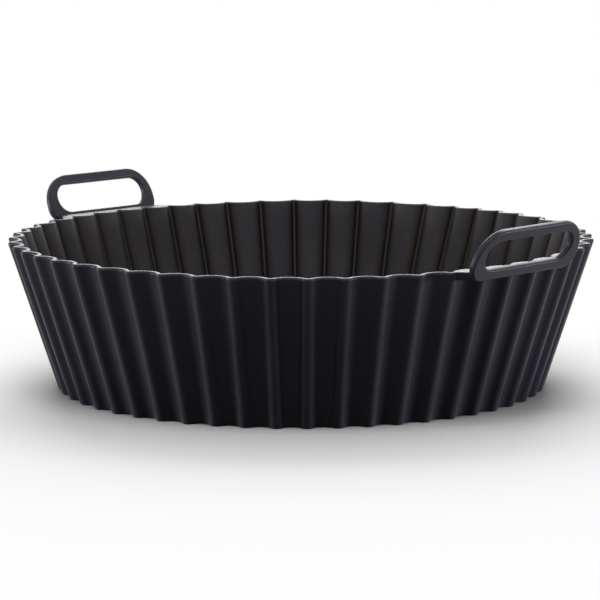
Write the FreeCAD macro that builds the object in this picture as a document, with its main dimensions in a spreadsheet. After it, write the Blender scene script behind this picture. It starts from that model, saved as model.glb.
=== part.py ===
import FreeCAD, Part
import math
import os

# Air fryer liner: a round fluted bowl moulded in one piece of silicone, with two leaning loop
# handles. Millimetres. The origin is the centre of the flat underside, +Z is up, and the two
# handles stand over +X and -X.

NODE = "liner"

# Driving sizes, in millimetres, degrees or counts.
SIZES = (
    ("RimDiameter", 220.0),  # over the ridges at the rim
    ("BaseDiameter", 183.2),  # over the ridges at the base
    ("RimHeight", 56.3),
    ("Wall", 2.0),
    ("FloorThickness", 2.2),
    ("BaseBevel", 1.0),  # inward and upward, round the underside's edge
    ("FluteCount", 52),
    ("FluteDepth", 2.2),  # from the crest of a ridge to the valley beside it
    ("RidgeRadius", 1.3),  # outside, at the crest
    ("GrooveRadius", 0.8),  # inside, behind the crest
    ("ScallopArcs", 4),  # equal arcs that each wide scallop is drawn in
    ("FlutePhase", -1.4),  # angle from the middle of a handle to the nearest ridge
    ("HandleStandoff", 3.3),  # from the rim's ridges out to the plate's face, at the rim's height
    ("HandleLean", 22.4),  # outward, from upright
    ("HandleThickness", 2.5),
    ("HandleLength", 55.8),
    ("HandleRise", 15.4),  # along the plate, above the rim's height
    ("HandleDrop", 3.8),  # along the plate, below the rim's height
    ("HandleTopRadius", 12.0),
    ("HandleFootRadius", 6.0),
    ("HandleBevel", 0.6),  # round both faces of the plate
    ("GripLength", 45.7),
    ("GripHeight", 11.35),
    ("GripLift", 0.15),  # along the plate, from the rim's height to the opening
    ("LedgeThickness", 3.0),
    ("LedgeFlare", 35.0),  # angle at which the ledge widens towards the wall
    ("RibCount", 12),
    ("RibWidth", 3.0),
    ("RibHeight", 1.2),
    ("RibEnd", 74.0),  # distance of the ribs' outer ends from the middle
    ("LongRibStart", 18.0),
    ("ShortRibStart", 46.0),
)


def make_sheet(doc):
    """The spreadsheet that holds every driving size under its own name."""
    sheet = doc.addObject("Spreadsheet::Sheet", "sizes")
    for row, (name, value) in enumerate(SIZES, start=1):
        sheet.set(f"A{row}", name)
        sheet.set(f"B{row}", str(value))
        sheet.setAlias(f"B{row}", name)
    doc.recompute()
    return sheet


def level_sketch(doc, name, curves, height=None):
    """A sketch that lies level, at the height that an expression on the sheet gives."""
    sketch = doc.addObject("Sketcher::SketchObject", name)
    sketch.addGeometry(curves)
    if height:
        sketch.setExpression("Placement.Base.z", height)
    return sketch


def polygon(corners):
    """Straight edges round a closed run of corners."""
    following = corners[1:] + corners[:1]
    return [Part.LineSegment(start, end) for start, end in zip(corners, following)]


def on_ring(radius, angle):
    return FreeCAD.Vector(radius * math.cos(angle), radius * math.sin(angle), 0)


def crest_radius(sheet, height):
    """Radius over the ridges at a height: the wall tapers evenly from rim to base."""
    base = sheet.BaseDiameter / 2
    rim = sheet.RimDiameter / 2
    return base + (rim - base) * height / sheet.RimHeight


def scallop_circle(sheet, crest):
    """Radius of the wide scallop between two ridges, and of the ring its centre stands on."""
    half_pitch = math.pi / sheet.FluteCount
    valley = crest - sheet.FluteDepth
    ridge_ring = crest - sheet.RidgeRadius
    run = ridge_ring * math.cos(half_pitch)
    top = valley**2 + ridge_ring**2 - 2 * valley * run - sheet.RidgeRadius**2
    scallop = top / (2 * (run + sheet.RidgeRadius - valley))
    return scallop, valley + scallop


def equal_arcs(start, through, end, count):
    """The arc from start to end, drawn in a number of equal arcs."""
    whole = Part.ArcOfCircle(start, through, end)
    step = (whole.LastParameter - whole.FirstParameter) / count
    points = [whole.value(whole.FirstParameter + half * step / 2) for half in range(2 * count + 1)]
    if points[0].distanceToPoint(start) > points[-1].distanceToPoint(start):
        points.reverse()
    points[0] = start
    points[-1] = end
    return [Part.ArcOfCircle(*points[2 * index : 2 * index + 3]) for index in range(count)]


def fluted_outline(sheet, tip_ring, tip_radius, scallop_ring, scallop):
    """A closed outline of narrow round tips and wide scallops, each tangent to the next."""
    count = int(sheet.FluteCount)
    pitch = 2 * math.pi / count
    phase = math.radians(sheet.FlutePhase)
    share = tip_radius / (tip_radius + scallop)
    ends = []
    for index in range(count):
        ridge = phase + index * pitch
        tip = on_ring(tip_ring, ridge)
        for side in (-pitch / 2, pitch / 2):
            ends.append(tip + (on_ring(scallop_ring, ridge + side) - tip) * share)
    arcs = []
    for index in range(count):
        ridge = phase + index * pitch
        crest = on_ring(tip_ring + tip_radius, ridge)
        valley = on_ring(scallop_ring - scallop, ridge + pitch / 2)
        start, end = ends[2 * index], ends[2 * index + 1]
        following = ends[(2 * index + 2) % len(ends)]
        arcs.append(Part.ArcOfCircle(start, crest, end))
        arcs.extend(equal_arcs(end, valley, following, int(sheet.ScallopArcs)))
    return arcs


def outer_outline(sheet, height, inset=0):
    """The wall's outside, cut level at a height, or a line parallel to it at an inset."""
    crest = crest_radius(sheet, height)
    scallop, ring = scallop_circle(sheet, crest)
    ridge = sheet.RidgeRadius
    return fluted_outline(sheet, crest - ridge, ridge - inset, ring, scallop + inset)


def inner_outline(sheet, height):
    """The wall's inside: bands that run parallel to the outer scallops, and tight grooves."""
    half_pitch = math.pi / sheet.FluteCount
    scallop, ring = scallop_circle(sheet, crest_radius(sheet, height))
    band = scallop + sheet.Wall
    reach = band + sheet.GrooveRadius
    groove_ring = ring * math.cos(half_pitch) - math.sqrt(reach**2 - (ring * math.sin(half_pitch)) ** 2)
    return fluted_outline(sheet, groove_ring, sheet.GrooveRadius, ring, band)


def make_bowl(doc, sheet):
    """The solid outer form, ruled from the bevelled foot of the flutes up to the rim."""
    bevel = sheet.BaseBevel
    bowl = doc.addObject("Part::Loft", "bowl_form")
    bowl.Sections = [
        level_sketch(doc, "base_outline", outer_outline(sheet, 0, inset=bevel)),
        level_sketch(doc, "foot_outline", outer_outline(sheet, bevel), "sizes.BaseBevel"),
        level_sketch(doc, "rim_outline", outer_outline(sheet, sheet.RimHeight), "sizes.RimHeight"),
    ]
    bowl.Solid = True
    bowl.Ruled = True
    return bowl


def make_hollow(doc, sheet):
    """The fluted space inside, from the floor up past the rim."""
    hollow = doc.addObject("Part::Loft", "hollow")
    floor = inner_outline(sheet, sheet.FloorThickness)
    mouth = inner_outline(sheet, sheet.RimHeight + sheet.Wall)
    hollow.Sections = [
        level_sketch(doc, "floor_outline", floor, "sizes.FloorThickness"),
        level_sketch(doc, "mouth_outline", mouth, "sizes.RimHeight + sizes.Wall"),
    ]
    hollow.Solid = True
    hollow.Ruled = True
    return hollow


def origin_feature(body, role):
    """One of the body's own origin planes or axes."""
    return next(item for item in body.Origin.OriginFeatures if item.Role == role)


def rounded_outline(half_length, low, high, low_radius, high_radius):
    """An upright outline with two lower and two upper round corners."""
    corners = (
        (half_length - high_radius, high - high_radius, high_radius),
        (high_radius - half_length, high - high_radius, high_radius),
        (low_radius - half_length, low + low_radius, low_radius),
        (half_length - low_radius, low + low_radius, low_radius),
    )
    quarter = math.pi / 2
    arcs = []
    for turn, (across, up, radius) in enumerate(corners):
        circle = Part.Circle(FreeCAD.Vector(across, up, 0), FreeCAD.Vector(0, 0, 1), radius)
        arcs.append(Part.ArcOfCircle(circle, turn * quarter, (turn + 1) * quarter))
    curves = []
    for arc, following in zip(arcs, arcs[1:] + arcs[:1]):
        curves.append(arc)
        if arc.EndPoint.distanceToPoint(following.StartPoint) > 1e-6:
            curves.append(Part.LineSegment(arc.EndPoint, following.StartPoint))
    return curves


def plate_curves(sheet):
    """The handle's outline and its finger opening, measured along the leaning plate."""
    grip_radius = sheet.GripHeight / 2
    outline = rounded_outline(
        sheet.HandleLength / 2,
        -sheet.HandleDrop,
        sheet.HandleRise,
        sheet.HandleFootRadius,
        sheet.HandleTopRadius,
    )
    opening = rounded_outline(
        sheet.GripLength / 2,
        sheet.GripLift,
        sheet.GripLift + sheet.GripHeight,
        grip_radius,
        grip_radius,
    )
    return outline + opening


def ledge_curves(sheet):
    """The ledge seen from above: from inside the wall out to the middle of the plate."""
    rim = sheet.RimDiameter / 2
    outside = rim + sheet.HandleStandoff - sheet.HandleThickness / 2
    inside = rim - sheet.FluteDepth - sheet.Wall - sheet.HandleStandoff
    foot = sheet.HandleFootRadius
    depth = sheet.LedgeThickness / math.cos(math.radians(sheet.HandleLean))
    above_foot = foot - (sheet.HandleDrop - depth)
    near = sheet.HandleLength / 2 - foot + math.sqrt(foot**2 - above_foot**2) - sheet.HandleBevel
    far = near + (outside - inside) * math.tan(math.radians(sheet.LedgeFlare))
    corners = ((outside, -near), (outside, near), (inside, far), (inside, -far))
    return polygon([FreeCAD.Vector(x, y, 0) for x, y in corners])


def make_handle(doc, sheet):
    """One handle: a leaning plate with a finger opening, on a ledge at the rim's height."""
    body = doc.addObject("PartDesign::Body", "handle")
    outline = body.newObject("Sketcher::SketchObject", "handle_outline")
    outline.AttachmentSupport = [(origin_feature(body, "YZ_Plane"), "")]
    outline.MapMode = "FlatFace"
    lean = FreeCAD.Rotation(FreeCAD.Vector(1, 0, 0), sheet.HandleLean)
    outline.AttachmentOffset = FreeCAD.Placement(FreeCAD.Vector(), lean)
    outline.setExpression("AttachmentOffset.Rotation.Angle", "sizes.HandleLean")
    outline.setExpression("AttachmentOffset.Base.y", "sizes.RimHeight")
    outline.setExpression("AttachmentOffset.Base.z", "sizes.RimDiameter / 2 + sizes.HandleStandoff")
    outline.addGeometry(plate_curves(sheet))
    plate = body.newObject("PartDesign::Pad", "handle_plate")
    plate.Profile = outline
    plate.Reversed = True
    plate.setExpression("Length", "sizes.HandleThickness")
    doc.recompute()
    bevel = body.newObject("PartDesign::Chamfer", "handle_bevel")
    bevel.Base = (plate, face_loops(plate.Shape, sheet.HandleThickness))
    bevel.setExpression("Size", "sizes.HandleBevel")
    plan = body.newObject("Sketcher::SketchObject", "ledge_outline")
    plan.AttachmentSupport = [(origin_feature(body, "XY_Plane"), "")]
    plan.MapMode = "FlatFace"
    plan.setExpression("AttachmentOffset.Base.z", "sizes.RimHeight")
    plan.addGeometry(ledge_curves(sheet))
    ledge = body.newObject("PartDesign::Pad", "ledge")
    ledge.Profile = plan
    ledge.Reversed = True
    ledge.setExpression("Length", "sizes.LedgeThickness")
    doc.recompute()
    return body


def face_loops(shape, thickness):
    """Names of the edges round both flat faces of a plate: all but those across its thickness."""
    return [
        f"Edge{number}"
        for number, edge in enumerate(shape.Edges, start=1)
        if edge.Curve.TypeId != "Part::GeomLine" or abs(edge.Length - thickness) > 1e-6
    ]


def make_ribs(doc, sheet):
    """Low ribs on the floor that point to the middle, long and short by turns."""
    up = FreeCAD.Vector(0, 0, 1)
    step = 360 / int(sheet.RibCount)
    ribs = []
    for name, first_turn in (("LongRib", 0), ("ShortRib", step / 2)):
        start = getattr(sheet, f"{name}Start")
        for index in range(int(sheet.RibCount)):
            turn = FreeCAD.Rotation(up, first_turn + index * step)
            corner = FreeCAD.Vector(start, -sheet.RibWidth / 2, sheet.FloorThickness / 2)
            rib = doc.addObject("Part::Box", f"{name}{index + 1}")
            rib.setExpression("Length", f"sizes.RibEnd - sizes.{name}Start")
            rib.setExpression("Width", "sizes.RibWidth")
            rib.setExpression("Height", "sizes.FloorThickness / 2 + sizes.RibHeight")
            rib.Placement = FreeCAD.Placement(turn.multVec(corner), turn)
            ribs.append(rib)
    group = doc.addObject("Part::Compound", "ribs")
    group.Links = ribs
    return group


def mirrored(doc, source):
    """The same thing on the other side of the bowl."""
    copy = doc.addObject("Part::Mirroring", f"{source.Name}_opposite")
    copy.Source = source
    copy.Normal = FreeCAD.Vector(1, 0, 0)
    return copy


def cut(doc, name, base, tool):
    result = doc.addObject("Part::Cut", name)
    result.Base = base
    result.Tool = tool
    return result


def make_liner(doc, sheet):
    """The whole liner: outer form and handles, less the hollow that the floor's ribs stand in."""
    handle = make_handle(doc, sheet)
    outside = doc.addObject("Part::MultiFuse", "outside")
    outside.Shapes = [make_bowl(doc, sheet), handle, mirrored(doc, handle)]
    ribbed_hollow = cut(doc, "ribbed_hollow", make_hollow(doc, sheet), make_ribs(doc, sheet))
    liner = cut(doc, NODE, outside, ribbed_hollow)
    liner.Label = NODE
    liner.Placement = FreeCAD.Placement()
    return liner


def build():
    doc = FreeCAD.newDocument("air_fryer_liner")
    sheet = make_sheet(doc)
    liner = make_liner(doc, sheet)
    doc.recompute()
    broken = [item.Name for item in doc.Objects if {"Invalid", "Error"} & set(item.State)]
    if broken:
        raise RuntimeError(f"not built: {broken}")
    shape = liner.Shape
    if shape.isNull() or not shape.isValid() or len(shape.Solids) != 1:
        raise RuntimeError("the liner is not one valid solid")
    os.makedirs("parts", exist_ok=True)
    shape.exportStep(f"parts/{NODE}.step")
    print(f"{NODE}: {shape.Volume / 1000:.1f} cm3, {len(shape.Faces)} faces, {shape.BoundBox}")


build()
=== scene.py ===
"""The looks of the air fryer liner: satin black silicone on a pale floor, in soft studio light.

The liner is one moulding, so it is one mesh here too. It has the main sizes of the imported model,
with deeper and rounder flutes, and adds what that leaves out: rolled edges, round-ended floor ribs,
the small ways in which a soft one isn't true, and the surface of the silicone.
"""

import math

import bmesh
import bpy
import numpy as np
from mathutils import Matrix, Vector


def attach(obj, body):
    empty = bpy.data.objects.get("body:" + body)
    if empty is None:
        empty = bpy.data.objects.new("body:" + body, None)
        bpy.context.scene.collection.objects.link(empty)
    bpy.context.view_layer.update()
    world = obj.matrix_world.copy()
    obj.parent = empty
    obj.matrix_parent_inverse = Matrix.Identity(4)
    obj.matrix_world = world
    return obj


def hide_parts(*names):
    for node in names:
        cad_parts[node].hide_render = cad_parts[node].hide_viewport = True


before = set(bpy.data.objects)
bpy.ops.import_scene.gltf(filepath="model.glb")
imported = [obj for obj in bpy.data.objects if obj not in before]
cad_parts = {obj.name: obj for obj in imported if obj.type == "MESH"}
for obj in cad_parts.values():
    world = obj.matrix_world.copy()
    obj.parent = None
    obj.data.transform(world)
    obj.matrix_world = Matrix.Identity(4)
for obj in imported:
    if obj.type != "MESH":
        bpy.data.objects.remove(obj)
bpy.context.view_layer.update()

MM = 0.001  # the shapes below are written in millimetres
SLIVER = 2e-6  # metres; shorter edges are closed up
MERGED = 1e-7  # metres; points closer than this are one
SAME = 0.01  # millimetres; heights or radii closer than this are one

# The fluted wall.
RIM_CREST = 110.0
BASE_CREST = 91.6
RIM_HEIGHT = 56.3
WALL = 2.0
FLOOR_TOP = 2.2
FLUTES = 52
BASE_FLUTE_DEPTH = 3.0
RIM_FLUTE_DEPTH = 3.6  # the flutes deepen towards the rim
RIDGE_RADIUS = 2.4
GROOVE_RADIUS = 0.7
FLUTE_PHASE = math.radians(-1.4)
LEAN = math.atan2(RIM_CREST - BASE_CREST, RIM_HEIGHT)
RIM_ROLL = 0.85  # radius of the rim's two edges
BASE_ROLL = 1.2
FLOOR_FILLET = 0.9
BASE_FLAT = 84.0  # radius inside which the underside and the floor are plain and flat
FLOOR_FLAT = 82.0

# The two handles: a plate that leans outward, on a ledge at the rim. They don't stand quite alike.
# Each one's turn round the bowl, the way its plate faces and its lean, in degrees, and how far its
# outer face is from the middle at the rim's height.
PLATES = (
    (-0.13, 1.54, 22.87, 112.75),
    (180.31, 180.0, 22.3, 113.26),
)
PLATE_THICKNESS = 2.5
PLATE_ROLL = 0.78
PLATE_HALF = 27.9
PLATE_LOW = -3.8
PLATE_HIGH = 15.4
PLATE_TOP_RADIUS = 12.0
PLATE_FOOT_RADIUS = 6.0
GRIP_HALF = 22.85
GRIP_LOW = 0.15
GRIP_HIGH = 11.5
LEDGE_THICKNESS = 3.0
LEDGE_DROP = 0.02  # from the rim's top to the ledge's
LEDGE_HALF = 23.8
LEDGE_FLARE = math.radians(35.0)
LEDGE_ROLL = 0.4
LEDGE_ROLL_STEPS = 3
FLARE_PASSES = 3
SIDE_LEVEL = 0.1  # how near to level the edges are that get the ledge's roll, and how long
SIDE_LONG = 1.5

# The ribs on the floor.
RIB_COUNT = 12
RIB_WIDTH = 3.0
RIB_HEIGHT = 1.2
RIB_ROLL = 0.7
RIB_END = 74.0
RIB_STARTS = (18.0, 46.0)

# How this soft one departs from true: where and how wide, in degrees round the bowl, and how much,
# in degrees for the flutes and in millimetres for the rim.
FLUTE_SHIFTS = ((105.0, 12.0, -2.0), (155.0, 13.0, 1.35), (82.0, 6.0, 0.9))
RIM_LIFTS = ((-36.0, 42.0, -0.45), (131.0, 16.0, 0.45))

# How finely the curves are drawn.
TIP_STEPS = 8
SCALLOP_STEPS = 12
WALL_ROWS = 10
ROLL_STEPS = 4
CORNER_STEPS = 14
STRAIGHT_STEPS = 10
SHARP = math.radians(38)  # corners sharper than this stay crisp

# How the skin is marked.
RUB_FROM = 150.0  # curvature where rubbing starts and is full, in one over metres
RUB_FULL = 700.0
SHORTEST_READ = 0.00003  # metres; shorter edges say nothing about the curvature
FACES_IN = 0.2  # how squarely the inside of the wall faces the middle, at least
NO_GROOVE = 1.0  # metres; stands for far from any groove
SMOOTHINGS = 3
NEIGHBOUR = 0.5  # what each neighbour counts in a smoothing


def steps(start, end, count):
    return np.linspace(start, end, count + 1)


def crest_at(height):
    return BASE_CREST + (RIM_CREST - BASE_CREST) * height / RIM_HEIGHT


def depth_at(height):
    return BASE_FLUTE_DEPTH + (RIM_FLUTE_DEPTH - BASE_FLUTE_DEPTH) * height / RIM_HEIGHT


def scallop_at(height):
    """Radius of the wide scallop between two ridges, and of the ring its centre stands on."""
    half_pitch = math.pi / FLUTES
    crest = crest_at(height)
    valley = crest - depth_at(height)
    ridge_ring = crest - RIDGE_RADIUS
    run = ridge_ring * math.cos(half_pitch)
    top = valley**2 + ridge_ring**2 - 2 * valley * run - RIDGE_RADIUS**2
    scallop = top / (2 * (run + RIDGE_RADIUS - valley))
    return scallop, valley + scallop


def fluted_ring(height, tip_ring, tip_radius, scallop_ring, scallop):
    """Points round a level outline of narrow tips and wide scallops, each tangent to the next."""
    half_pitch = math.pi / FLUTES
    across = scallop_ring * math.sin(half_pitch)
    out = scallop_ring * math.cos(half_pitch) - tip_ring
    tip_turn = math.atan2(across, out)
    tip = tip_ring + tip_radius * np.exp(1j * steps(-tip_turn, tip_turn, TIP_STEPS))
    sweep = steps(half_pitch - tip_turn, tip_turn - half_pitch, SCALLOP_STEPS)[1:-1]
    bay = (scallop_ring - scallop * np.exp(-1j * sweep)) * np.exp(1j * half_pitch)
    turns = np.exp(1j * (FLUTE_PHASE + 2 * half_pitch * np.arange(FLUTES)))
    ring = (turns[:, None] * np.concatenate([tip, bay])[None, :]).ravel()
    return np.stack([ring.real, ring.imag, np.full(ring.size, height)], axis=1)


def outer_ring(height, inset=0.0):
    scallop, ring = scallop_at(height)
    tip_ring = crest_at(height) - RIDGE_RADIUS
    return fluted_ring(height, tip_ring, RIDGE_RADIUS - inset, ring, scallop + inset)


def inner_ring(height, inset=0.0):
    """The inside of the wall; a positive inset moves the surface into the wall."""
    half_pitch = math.pi / FLUTES
    scallop, ring = scallop_at(height)
    band = scallop + WALL
    reach = band + GROOVE_RADIUS
    across = ring * math.sin(half_pitch)
    groove_ring = ring * math.cos(half_pitch) - math.sqrt(reach**2 - across**2)
    return fluted_ring(height, groove_ring, GROOVE_RADIUS + inset, ring, band - inset)


def round_ring(ring, radius):
    """The points of a ring drawn in to a plain circle."""
    place = ring[:, 0] + 1j * ring[:, 1]
    circle = radius * place / np.abs(place)
    return np.stack([circle.real, circle.imag, ring[:, 2]], axis=1)


def wall_rings():
    """The rings of the bowl: up the outside, over the rim and down the inside to the floor."""
    quarter = math.pi / 2
    slope = math.tan(LEAN)
    wide = 1 / math.cos(LEAN)
    rings = []
    for turn in steps(-quarter, -LEAN, ROLL_STEPS + 1):
        rise = BASE_ROLL * (1 + math.sin(turn))
        rings.append(outer_ring(rise, BASE_ROLL * (wide - slope - math.cos(turn)) + rise * slope))
    low = BASE_ROLL * (1 - math.sin(LEAN))
    high = RIM_HEIGHT - RIM_ROLL * (1 + math.sin(LEAN))
    rings += [outer_ring(height) for height in steps(low, high, WALL_ROWS)[1:-1]]
    for turn in steps(-LEAN, quarter, ROLL_STEPS + 1):
        drop = RIM_ROLL * (1 - math.sin(turn))
        inset = RIM_ROLL * (wide + slope - math.cos(turn)) - drop * slope
        rings.append(outer_ring(RIM_HEIGHT - drop, inset))
    for turn in steps(quarter, math.pi - LEAN, ROLL_STEPS):
        drop = RIM_ROLL * (1 - math.sin(turn))
        inset = RIM_ROLL * (wide - slope + math.cos(turn)) + drop * slope
        rings.append(inner_ring(RIM_HEIGHT - drop, inset))
    high = RIM_HEIGHT - RIM_ROLL * (1 - math.sin(LEAN))
    low = FLOOR_TOP + FLOOR_FILLET * (1 - math.sin(LEAN))
    rings += [inner_ring(height) for height in steps(high, low, WALL_ROWS)[1:-1]]
    for turn in steps(-LEAN, -quarter, ROLL_STEPS):
        rise = FLOOR_FILLET * (1 + math.sin(turn))
        inset = -(FLOOR_FILLET * (wide - slope - math.cos(turn)) + rise * slope)
        rings.append(inner_ring(FLOOR_TOP + rise, inset))
    return [round_ring(rings[0], BASE_FLAT), *rings, round_ring(rings[-1], FLOOR_FLAT)]


def skin(name, rings, closed=False):
    """One closed mesh over rings of points: capped at both ends, or joined end to end."""
    rings = np.array(rings)
    count, around = rings.shape[:2]
    spans = count if closed else count - 1
    here = np.arange(around)
    after = (here + 1) % around
    faces = []
    for span in range(spans):
        low = span * around
        high = ((span + 1) % count) * around
        faces += np.stack([low + here, low + after, high + after, high + here], axis=1).tolist()
    if not closed:
        faces.append(here[::-1].tolist())
        faces.append((here + (count - 1) * around).tolist())
    mesh = bpy.data.meshes.new(name)
    mesh.from_pydata((rings.reshape(-1, 3) * MM).tolist(), [], faces)
    return settled(name, mesh)


def settled(name, mesh):
    """An object for a mesh, with doubled points merged and its faces turned outward."""
    work = bmesh.new()
    work.from_mesh(mesh)
    bmesh.ops.remove_doubles(work, verts=work.verts, dist=MERGED)
    bmesh.ops.recalc_face_normals(work, faces=work.faces)
    work.to_mesh(mesh)
    work.free()
    piece = bpy.data.objects.new(name, mesh)
    bpy.context.scene.collection.objects.link(piece)
    return piece


def rounded_loop(half, low, high, low_radius, high_radius, grow):
    """Points round an outline with two lower and two upper round corners, drawn larger by grow."""
    corners = (
        (half - high_radius, high - high_radius, high_radius),
        (high_radius - half, high - high_radius, high_radius),
        (low_radius - half, low + low_radius, low_radius),
        (half - low_radius, low + low_radius, low_radius),
    )
    quarter = math.pi / 2
    loop = []
    for turn, (across, up, radius) in enumerate(corners):
        arc = steps(turn * quarter, (turn + 1) * quarter, CORNER_STEPS)
        reach = radius + grow
        loop += [(across + reach * math.cos(a), up + reach * math.sin(a)) for a in arc]
        if turn in (0, 2):
            ahead, up_ahead, radius_ahead = corners[turn + 1]
            end = (ahead, up_ahead + (radius_ahead + grow) * (1 if turn == 0 else -1))
            x, y = loop[-1]
            for share in steps(0, 1, STRAIGHT_STEPS)[1:-1]:
                loop.append((x + (end[0] - x) * share, y + (end[1] - y) * share))
    return np.array(loop)


def plate_rings(turn, facing, lean, reach):
    """The handle's plate as rings round its loop: front, outer edge, back and the slot's edge."""
    quarter = math.pi / 2
    level = np.array([math.cos(facing), math.sin(facing), 0])
    upright = np.array([0, 0, 1])
    out = level * math.cos(lean) - upright * math.sin(lean)
    up = level * math.sin(lean) + upright * math.cos(lean)
    across = np.array([-math.sin(facing), math.cos(facing), 0])
    foot = np.array([reach * math.cos(turn), reach * math.sin(turn), RIM_HEIGHT])
    outline = (PLATE_HALF, PLATE_LOW, PLATE_HIGH, PLATE_FOOT_RADIUS, PLATE_TOP_RADIUS)
    grip_radius = (GRIP_HIGH - GRIP_LOW) / 2
    grip = (GRIP_HALF, GRIP_LOW, GRIP_HIGH, grip_radius, grip_radius)
    back = PLATE_THICKNESS - PLATE_ROLL
    section = []
    for a in steps(0, quarter, ROLL_STEPS):
        section.append((outline, PLATE_ROLL * (math.sin(a) - 1), PLATE_ROLL * (1 - math.cos(a))))
    for a in steps(0, quarter, ROLL_STEPS):
        section.append((outline, PLATE_ROLL * (math.cos(a) - 1), back + PLATE_ROLL * math.sin(a)))
    for a in steps(0, quarter, ROLL_STEPS):
        section.append((grip, PLATE_ROLL * (1 - math.sin(a)), back + PLATE_ROLL * math.cos(a)))
    for a in steps(0, quarter, ROLL_STEPS):
        section.append((grip, PLATE_ROLL * (1 - math.cos(a)), PLATE_ROLL * (1 - math.sin(a))))
    rings = []
    for shape, grow, depth in section:
        loop = rounded_loop(*shape, grow)
        rings.append(foot + loop[:, :1] * across + loop[:, 1:] * up - depth * out)
    return rings


def ledge_mesh(lean, foot):
    """The ledge from the middle of the plate to the middle of the wall."""
    levels = (RIM_HEIGHT - LEDGE_DROP, RIM_HEIGHT - LEDGE_THICKNESS)
    half = PLATE_THICKNESS / 2 / math.cos(lean)
    outs = [foot - half - (RIM_HEIGHT - height) * math.tan(lean) for height in levels]
    middle = [outer_ring(height, WALL / 2) for height in levels]
    reach = LEDGE_HALF + (outs[0] - middle[0][:, 0]) * math.tan(LEDGE_FLARE)
    inside = np.flatnonzero((np.abs(middle[0][:, 1]) < reach) & (middle[0][:, 0] > 0))
    inside = inside[np.argsort(np.arctan2(middle[0][inside, 1], middle[0][inside, 0]))]
    rings = []
    for ring, height, out in zip(middle, levels, outs):
        corners = [(out, LEDGE_HALF)]
        for side in (1, -1):
            end = ring[inside[-1 if side > 0 else 0]]
            depth = out - end[0]
            # Each pass closes in on the point of the flared side that is on the wall.
            for _ in range(FLARE_PASSES):
                width = LEDGE_HALF + depth * math.tan(LEDGE_FLARE)
                depth = out - math.sqrt(end[0] ** 2 + end[1] ** 2 - width**2)
            corners.append((out - depth, side * width))
        corners.append((out, -LEDGE_HALF))
        wall = ring[inside[::-1], :2].tolist()
        plan = corners[:2] + wall + corners[2:]
        rings.append([(x, y, height) for x, y in plan])
    ledge = skin("ledge", rings)
    work = bmesh.new()
    work.from_mesh(ledge.data)
    work.verts.ensure_lookup_table()
    rims = []  # the long edges of the two flared sides
    for edge in work.edges:
        ends = [vertex.co / MM for vertex in edge.verts]
        level = abs(ends[0].z - ends[1].z) < SIDE_LEVEL
        long = abs(ends[0].x - ends[1].x) > SIDE_LONG
        flared = max(abs(end.y) for end in ends) > LEDGE_HALF
        if level and long and flared and max(end.x for end in ends) > min(outs) - SIDE_LEVEL:
            rims.append(edge)
    offset = LEDGE_ROLL * MM
    bmesh.ops.bevel(
        work, geom=rims, offset=offset, segments=LEDGE_ROLL_STEPS, affect="EDGES", profile=0.5
    )
    work.to_mesh(ledge.data)
    work.free()
    return ledge


def rib_rings(turn, start):
    """A round-ended rib on the floor, rooted a little way in it."""
    quarter = math.pi / 2
    radius = RIB_WIDTH / 2
    top = FLOOR_TOP + RIB_HEIGHT
    section = [(0.0, FLOOR_TOP / 2), (0.0, top - RIB_ROLL)]
    for a in steps(0, quarter, ROLL_STEPS)[1:]:
        section.append((RIB_ROLL * (1 - math.cos(a)), top - RIB_ROLL * (1 - math.sin(a))))
    half_round = np.exp(1j * steps(-quarter, quarter, ROLL_STEPS * 2))
    rings = []
    for inset, height in section:
        outer = RIB_END - radius + (radius - inset) * half_round
        inner = start + radius - (radius - inset) * half_round
        loop = np.concatenate([outer, inner]) * np.exp(1j * turn)
        rings.append(np.stack([loop.real, loop.imag, np.full(loop.size, height)], axis=1))
    return rings


def combined(name, pieces):
    """One object from several that don't touch."""
    work = bmesh.new()
    for piece in pieces:
        work.from_mesh(piece.data)
        bpy.data.objects.remove(piece)
    mesh = bpy.data.meshes.new(name)
    work.to_mesh(mesh)
    work.free()
    whole = bpy.data.objects.new(name, mesh)
    bpy.context.scene.collection.objects.link(whole)
    return whole


def united(base, tool):
    """Both solids as one skin, with nothing left inside."""
    modifier = base.modifiers.new("union", "BOOLEAN")
    modifier.operation = "UNION"
    modifier.solver = "MANIFOLD"
    modifier.object = tool
    bpy.context.view_layer.update()
    evaluated = base.evaluated_get(bpy.context.evaluated_depsgraph_get())
    mesh = bpy.data.meshes.new_from_object(evaluated)
    base.modifiers.clear()
    base.data = mesh
    bpy.data.objects.remove(tool)
    return base


def without_slivers(piece):
    """The unions leave a few edges of a micron or so, which are closed up."""
    work = bmesh.new()
    work.from_mesh(piece.data)
    bmesh.ops.dissolve_degenerate(work, edges=work.edges, dist=SLIVER)
    work.to_mesh(piece.data)
    work.free()
    return piece


def make_liner():
    liner = skin("silicone_liner", wall_rings())
    for turn, facing, lean, foot in PLATES:
        turn, facing, lean = (math.radians(angle) for angle in (turn, facing, lean))
        plate = skin("plate", plate_rings(turn, facing, lean, foot), closed=True)
        ledge = ledge_mesh(lean, foot)
        if math.cos(turn) < 0:  # half a turn on, the flutes stand as they do here
            ledge.data.transform(Matrix.Rotation(math.pi, 4, "Z"))
        liner = united(liner, united(plate, ledge))
    ribs = []
    for order, start in enumerate(RIB_STARTS):
        for index in range(RIB_COUNT):
            turn = 2 * math.pi * (index + order / 2) / RIB_COUNT
            ribs.append(skin("rib", rib_rings(turn, start)))
    return without_slivers(united(liner, combined("ribs", ribs)))


def finish_normals(piece):
    """Rolled edges shade smoothly and flat faces stay flat; only true corners stay sharp."""
    mesh = piece.data
    mesh.shade_smooth()
    mesh.set_sharp_from_angle(angle=SHARP)
    weighted = piece.modifiers.new("weighted", "WEIGHTED_NORMAL")
    weighted.keep_sharp = True
    weighted.weight = 60  # out of 100: how much more the larger faces count


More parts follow.
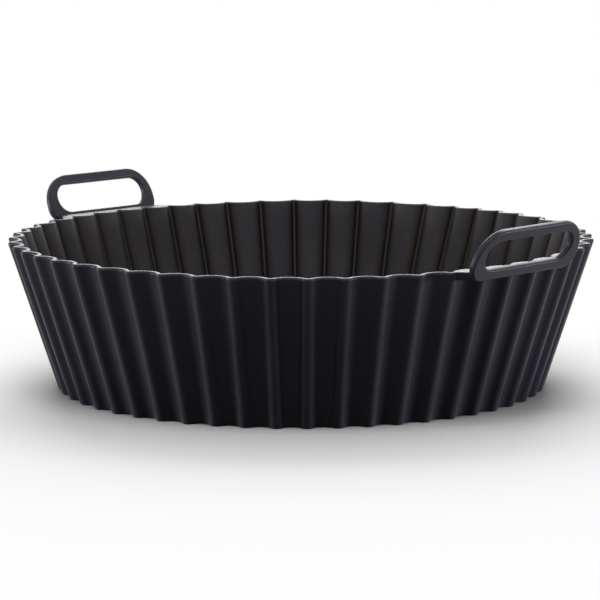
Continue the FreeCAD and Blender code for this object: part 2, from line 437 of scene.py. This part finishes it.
def bell(turns, middle, width):
    """1 at the middle, in degrees round the bowl, and falling smoothly to nothing either side."""
    off = (turns - middle + 180) % 360 - 180
    return np.exp(-((off / width) ** 2))


def off_ridge(points):
    """How far round each point is from the nearest ridge: 0 on it and 1 halfway to the next."""
    turns = np.angle(points[:, 0] + 1j * points[:, 1]) - FLUTE_PHASE
    pitches = turns * FLUTES / (2 * math.pi)
    return 2 * np.abs(pitches - np.round(pitches))


def relax(piece):
    """The soft wall isn't quite true: its rim sags and lifts a little, some flutes stand aside."""
    mesh = piece.data
    points = np.empty(len(mesh.vertices) * 3)
    mesh.vertices.foreach_get("co", points)
    points = points.reshape(-1, 3)
    share = np.clip(points[:, 2] / (RIM_HEIGHT * MM), 0, 1)
    place = points[:, 0] + 1j * points[:, 1]
    turns = np.degrees(np.angle(place))
    aside = sum(amount * bell(turns, middle, width) for middle, width, amount in FLUTE_SHIFTS)
    place = place * np.exp(1j * np.radians(aside * share))
    lift = sum(amount * bell(turns, middle, width) for middle, width, amount in RIM_LIFTS)
    points[:, 0] = place.real
    points[:, 1] = place.imag
    points[:, 2] += lift * share**2 * MM
    mesh.vertices.foreach_set("co", points.ravel())
    mesh.update()


def mark_surface(piece):
    """Store where the skin is rounded outward and rubs, where it is inside the bowl, and how far it
    is from the nearest inner groove, in metres."""
    mesh = piece.data
    count = len(mesh.vertices)
    points = np.empty(count * 3)
    mesh.vertices.foreach_get("co", points)
    points = points.reshape(-1, 3)
    normals = np.empty(count * 3)
    mesh.vertices.foreach_get("normal", normals)
    normals = normals.reshape(-1, 3)
    ends = np.empty(len(mesh.edges) * 2, dtype=int)
    mesh.edges.foreach_get("vertices", ends)
    ends = ends.reshape(-1, 2)
    bend = np.zeros(count)
    here, there = np.concatenate([ends, ends[:, ::-1]]).T
    run = points[there] - points[here]
    length = np.maximum(np.linalg.norm(run, axis=1), SLIVER)
    turn = -2 * np.einsum("ij,ij->i", run, normals[here]) / length**2  # one over the radius there
    turn = np.where(length > SHORTEST_READ, turn, 0.0)
    np.maximum.at(bend, here, turn)
    rub = np.clip((bend - RUB_FROM) / (RUB_FULL - RUB_FROM), 0, 1)
    radius = np.hypot(points[:, 0], points[:, 1]) / MM
    height = points[:, 2] / MM
    outward = np.einsum("ij,ij->i", normals[:, :2], points[:, :2])
    inward = outward < -FACES_IN * radius * MM
    inside = (inward & (radius < crest_at(height))) | (radius < BASE_FLAT)
    inside &= height > FLOOR_TOP - SAME
    wall = inward & inside
    wall &= (height > FLOOR_TOP + FLOOR_FILLET / 2) & (height < RIM_HEIGHT - RIM_ROLL / 2)
    level = (np.abs(height) < SAME) | (np.abs(height - FLOOR_TOP) < SAME)
    plain = level & (radius < BASE_FLAT + SAME)
    aside = off_ridge(points) * radius * MM * math.pi / FLUTES
    layer = mesh.attributes.new("groove", "FLOAT", "POINT")
    layer.data.foreach_set("value", np.where(wall, aside, NO_GROOVE).astype(np.float32))
    for name, values in (("rub", rub), ("inside", inside.astype(float))):
        smooth = values
        for _ in range(SMOOTHINGS):
            total = smooth.copy()
            weight = np.ones(count)
            np.add.at(total, here, smooth[there] * NEIGHBOUR)
            np.add.at(weight, here, NEIGHBOUR)
            smooth = total / weight
        if name == "rub":
            smooth = np.where(plain, 0, smooth)
        layer = mesh.attributes.new(name, "FLOAT", "POINT")
        layer.data.foreach_set("value", smooth.astype(np.float32))


# Colours of the silicone, of the wear on it, and of the painted light and shade inside the bowl.
SILICONE = (0.043, 0.041, 0.056)
SILICONE_DARK = (0.036, 0.034, 0.047)
SILICONE_RUBBED = (0.056, 0.054, 0.068)
SILICONE_WARM_LIT = (0.072, 0.067, 0.070)  # painted warm light: lighter and warmer inside the bowl
PAINTED_GROOVE_SHADE = (0.042, 0.030, 0.022)  # painted shade, brown, beside each inner groove
# painted shade, dark, closest to each inner groove
PAINTED_GROOVE_DARK = (0.010, 0.008, 0.007)
GLOSS = 0.12
IOR = 1.42

# Noise over the skin: features per metre and detail, and the part of its range that is used.
PATCHES = (38.0, 5.0)
FLECKS = (420.0, 3.0)
GRAIN = (2400.0, 2.0)
WAVES = (95.0, 2.0)
MIDDLE = (0.35, 0.65)

# What the noise and the marks do.
WEAR_IN_FLECKS = (0.5, 1.0)
WEAR_SHOWN = 0.7
WARM_LIGHT_IN_PATCHES = (0.5, 0.9)
# Painted shade beside the inner grooves, brown and then dark closer in, and a painted highlight
# along each groove's bottom, where the inside colour comes back.
BROWN_REACH, BROWN_SHARE = (0.0010, 0.0034), 0.85  # reach from the groove, in metres
DEEP_REACH, DEEP_SHARE = (0.0007, 0.0017), 0.9
GROOVE_HIGHLIGHT_REACH, GROOVE_HIGHLIGHT_SHARE = (0.0002, 0.0007), 0.85
ROUGH_FLECKS = (0.35, 0.41)
ROUGH_PATCHES = (-0.03, 0.03)
POLISH = -0.06  # what wear adds to the roughness
WAVY_STRENGTH, WAVY_HEIGHT = 0.35, 0.0002  # heights in metres
GRAIN_STRENGTH, GRAIN_HEIGHT = 0.25, 0.00003

# The floor.
FLOOR_SIDES = 96
FLOOR_RADIUS = 6.0  # metres
FLOOR_COLOUR = (0.80, 0.80, 0.80)
FLOOR_BOUNCE = (0.06, 0.06, 0.06)
WHITE_BEYOND = 0.42  # metres from the middle
# Metres from the middle, and the share of plain white that the floor has there.
FLOOR_WHITENS = ((0.10, 0.0), (0.13, 0.32), (0.17, 0.64), (0.23, 0.88), (0.34, 1.0))


def new_material(name):
    material = bpy.data.materials.new(name)
    material.use_nodes = True
    nodes = material.node_tree.nodes
    nodes.clear()
    output = nodes.new("ShaderNodeOutputMaterial")
    return material, nodes, material.node_tree.links, output


def noise(nodes, links, place, scale, detail):
    """A cloud of noise over the object, at a scale in features per metre."""
    cloud = nodes.new("ShaderNodeTexNoise")
    cloud.inputs["Scale"].default_value = scale
    cloud.inputs["Detail"].default_value = detail
    links.new(place.outputs["Object"], cloud.inputs["Vector"])
    return cloud.outputs["Fac"]


def spread(nodes, links, value, span, ends):
    """The value within a span, stretched to run from one end to the other."""
    stretch = nodes.new("ShaderNodeMapRange")
    for name, number in zip(("From Min", "From Max", "To Min", "To Max"), (*span, *ends)):
        stretch.inputs[name].default_value = number
    links.new(value, stretch.inputs["Value"])
    return stretch.outputs["Result"]


def blended(nodes, links, share, first, second):
    """A colour between two others, each a colour or another node's output."""
    mix = nodes.new("ShaderNodeMix")
    mix.data_type = "RGBA"
    for socket, colour in ((mix.inputs[6], first), (mix.inputs[7], second)):
        if isinstance(colour, tuple):
            socket.default_value = (*colour, 1)
        else:
            links.new(colour, socket)
    links.new(share, mix.inputs[0])
    return mix.outputs[2]


def maths(nodes, links, operation, first, second):
    """A sum on two values, each a number or another node's output."""
    node = nodes.new("ShaderNodeMath")
    node.operation = operation
    for socket, value in zip(node.inputs, (first, second)):
        if isinstance(value, float):
            socket.default_value = value
        else:
            links.new(value, socket)
    return node.outputs["Value"]


def marked(nodes, name):
    """A value stored on the mesh by mark_surface."""
    mark = nodes.new("ShaderNodeAttribute")
    mark.attribute_name = name
    return mark.outputs["Fac"]


def silicone_material():
    """Satin black silicone: cool and near black, rubbed lighter on its ridges and edges, with
    painted warm light inside the bowl, and painted shade and a painted highlight at the inner
    grooves."""
    material, nodes, links, output = new_material("black_silicone")
    surface = nodes.new("ShaderNodeBsdfPrincipled")
    surface.inputs["Specular IOR Level"].default_value = GLOSS
    surface.inputs["IOR"].default_value = IOR
    links.new(surface.outputs["BSDF"], output.inputs["Surface"])
    place = nodes.new("ShaderNodeTexCoord")
    rub = marked(nodes, "rub")
    aside = marked(nodes, "groove")
    inside = marked(nodes, "inside")

    patches = noise(nodes, links, place, *PATCHES)
    flecks = noise(nodes, links, place, *FLECKS)
    grain = noise(nodes, links, place, *GRAIN)

    mottle = spread(nodes, links, patches, MIDDLE, (0.0, 1.0))
    body = blended(nodes, links, mottle, SILICONE_DARK, SILICONE)
    wear_flecks = spread(nodes, links, flecks, MIDDLE, WEAR_IN_FLECKS)
    wear = maths(nodes, links, "MULTIPLY", rub, wear_flecks)
    shown = maths(nodes, links, "MULTIPLY", wear, WEAR_SHOWN)
    worn = blended(nodes, links, shown, body, SILICONE_RUBBED)
    # Painted warm light: the inside of the bowl is made lighter and warmer, in patches.
    warm_light_patches = spread(nodes, links, patches, MIDDLE, WARM_LIGHT_IN_PATCHES)
    warm_light_share = maths(nodes, links, "MULTIPLY", inside, warm_light_patches)
    warm_lit = blended(nodes, links, warm_light_share, worn, SILICONE_WARM_LIT)
    # Painted shade beside each inner groove, brown and then dark, and a painted highlight along its
    # bottom.
    beside = spread(nodes, links, aside, BROWN_REACH, (BROWN_SHARE, 0.0))
    brown = blended(nodes, links, beside, warm_lit, PAINTED_GROOVE_SHADE)
    close = spread(nodes, links, aside, DEEP_REACH, (DEEP_SHARE, 0.0))
    deep = blended(nodes, links, close, brown, PAINTED_GROOVE_DARK)
    line = spread(nodes, links, aside, GROOVE_HIGHLIGHT_REACH, (GROOVE_HIGHLIGHT_SHARE, 0.0))
    links.new(blended(nodes, links, line, deep, warm_lit), surface.inputs["Base Color"])

    rough_patches = spread(nodes, links, patches, MIDDLE, ROUGH_PATCHES)
    rough_flecks = spread(nodes, links, flecks, MIDDLE, ROUGH_FLECKS)
    uneven = maths(nodes, links, "ADD", rough_patches, rough_flecks)
    polish = maths(nodes, links, "MULTIPLY", wear, POLISH)
    roughness = maths(nodes, links, "ADD", uneven, polish)
    links.new(roughness, surface.inputs["Roughness"])

    wavy = nodes.new("ShaderNodeBump")
    wavy.inputs["Strength"].default_value = WAVY_STRENGTH
    wavy.inputs["Distance"].default_value = WAVY_HEIGHT
    links.new(noise(nodes, links, place, *WAVES), wavy.inputs["Height"])
    bump = nodes.new("ShaderNodeBump")
    bump.inputs["Strength"].default_value = GRAIN_STRENGTH
    bump.inputs["Distance"].default_value = GRAIN_HEIGHT
    links.new(grain, bump.inputs["Height"])
    links.new(wavy.outputs["Normal"], bump.inputs["Normal"])
    links.new(bump.outputs["Normal"], surface.inputs["Normal"])
    return material


def seen_directly(nodes, links):
    """1 for what is seen, also in a reflection or through glass, and 0 for the light on things."""
    path = nodes.new("ShaderNodeLightPath")
    seen = path.outputs["Is Camera Ray"]
    for ray in ("Is Glossy Ray", "Is Transmission Ray"):
        seen = maths(nodes, links, "MAXIMUM", seen, path.outputs[ray])
    return seen


def floor_material():
    """A pale matte floor that keeps the shadow and goes to white further out."""
    material, nodes, links, output = new_material("pale_floor")
    place = nodes.new("ShaderNodeTexCoord")
    radius = nodes.new("ShaderNodeVectorMath")
    radius.operation = "LENGTH"
    links.new(place.outputs["Object"], radius.inputs[0])
    share = maths(nodes, links, "DIVIDE", radius.outputs["Value"], WHITE_BEYOND)
    far = nodes.new("ShaderNodeValToRGB")
    far.color_ramp.interpolation = "B_SPLINE"
    stops = far.color_ramp.elements
    for _ in FLOOR_WHITENS[2:]:  # a ramp starts with two stops
        stops.new(0.5)
    for stop, (reach, white_share) in zip(stops, FLOOR_WHITENS):
        stop.position = reach / WHITE_BEYOND
        stop.color = (white_share, white_share, white_share, 1)
    links.new(share, far.inputs["Fac"])
    near = nodes.new("ShaderNodeBsdfDiffuse")
    near.inputs["Color"].default_value = (*FLOOR_COLOUR, 1)
    white = nodes.new("ShaderNodeEmission")
    white.inputs["Color"].default_value = (1, 1, 1, 1)
    white.inputs["Strength"].default_value = 1.0
    pale = nodes.new("ShaderNodeMixShader")
    links.new(far.outputs["Color"], pale.inputs[0])
    links.new(near.outputs["BSDF"], pale.inputs[1])
    links.new(white.outputs["Emission"], pale.inputs[2])
    bounce = nodes.new("ShaderNodeBsdfDiffuse")
    bounce.inputs["Color"].default_value = (*FLOOR_BOUNCE, 1)
    whole = nodes.new("ShaderNodeMixShader")
    links.new(seen_directly(nodes, links), whole.inputs[0])
    links.new(bounce.outputs["BSDF"], whole.inputs[1])
    links.new(pale.outputs["Shader"], whole.inputs[2])
    links.new(whole.outputs["Shader"], output.inputs["Surface"])
    return material


liner = make_liner()
mark_surface(liner)
relax(liner)
finish_normals(liner)
liner.data.materials.clear()
liner.data.materials.append(silicone_material())
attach(liner, "root")
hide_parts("liner")

bpy.ops.mesh.primitive_circle_add(vertices=FLOOR_SIDES, radius=FLOOR_RADIUS, fill_type="NGON")
floor = bpy.context.object
floor.name = "floor"
floor.data.materials.append(floor_material())

# The camera stands in front and a little to one side of the handle over +X.
CAMERA_TURN = math.radians(-44.24)
CAMERA_RISE = math.radians(10.29)
CAMERA_DISTANCE = 1.179
FOCAL_PIXELS = 3112
PICTURE_PIXELS = 600
SENSOR = 36.0
SHIFT = -0.0016
AIM_HEIGHT = 0.0317
CAMERA_ROLL = math.radians(-0.17)

camera_data = bpy.data.cameras.new("camera")
camera_data.sensor_width = SENSOR
camera_data.lens = FOCAL_PIXELS / PICTURE_PIXELS * SENSOR
camera_data.shift_x = SHIFT
camera = bpy.data.objects.new("camera", camera_data)
bpy.context.scene.collection.objects.link(camera)
camera.location = CAMERA_DISTANCE * Vector(
    (
        math.cos(CAMERA_RISE) * math.cos(CAMERA_TURN),
        math.cos(CAMERA_RISE) * math.sin(CAMERA_TURN),
        math.sin(CAMERA_RISE),
    )
)
gaze = Vector((0, 0, AIM_HEIGHT)) - camera.location
aim = gaze.to_track_quat("-Z", "Y").to_matrix().to_4x4()
standing = Matrix.Translation(camera.location)
camera.matrix_world = standing @ aim @ Matrix.Rotation(CAMERA_ROLL, 4, "Z")
bpy.context.scene.camera = camera

# Lamps: name, turn from the camera's direction in degrees, distance, height, width and depth of
# the panel in metres, and power in watts.
LAMPS = (
    ("left_strip", -90.0, 1.10, 0.08, 0.50, 0.16, 8.2),
    ("right_strip", 86.0, 1.10, 0.05, 0.50, 0.10, 8.0),
    ("top_box", -5.0, 0.53, 1.19, 0.70, 0.70, 7.5),
    ("back_box", 180.0, 1.02, 0.80, 1.00, 1.00, 22.0),
)
AMBIENT = 0.02  # the even light from all round
for name, turn, distance, height, width, depth, power in LAMPS:
    lamp = bpy.data.lights.new(name, "AREA")
    lamp.shape = "RECTANGLE"
    lamp.size = width
    lamp.size_y = depth
    lamp.energy = power
    holder = bpy.data.objects.new(name, lamp)
    bpy.context.scene.collection.objects.link(holder)
    turned = CAMERA_TURN + math.radians(turn)
    holder.location = (distance * math.cos(turned), distance * math.sin(turned), height)
    holder.rotation_euler = (-holder.location).to_track_quat("-Z", "Y").to_euler()

world = bpy.data.worlds.new("studio")
bpy.context.scene.world = world
world.use_nodes = True
sky = world.node_tree.nodes["Background"]
sky.inputs["Color"].default_value = (1, 1, 1, 1)
level = world.node_tree.nodes.new("ShaderNodeMapRange")
level.inputs["To Min"].default_value = AMBIENT
level.inputs["To Max"].default_value = 1.0
seen = seen_directly(world.node_tree.nodes, world.node_tree.links)
world.node_tree.links.new(seen, level.inputs["Value"])
world.node_tree.links.new(level.outputs["Result"], sky.inputs["Strength"])

bpy.context.scene.view_settings.view_transform = "Standard"
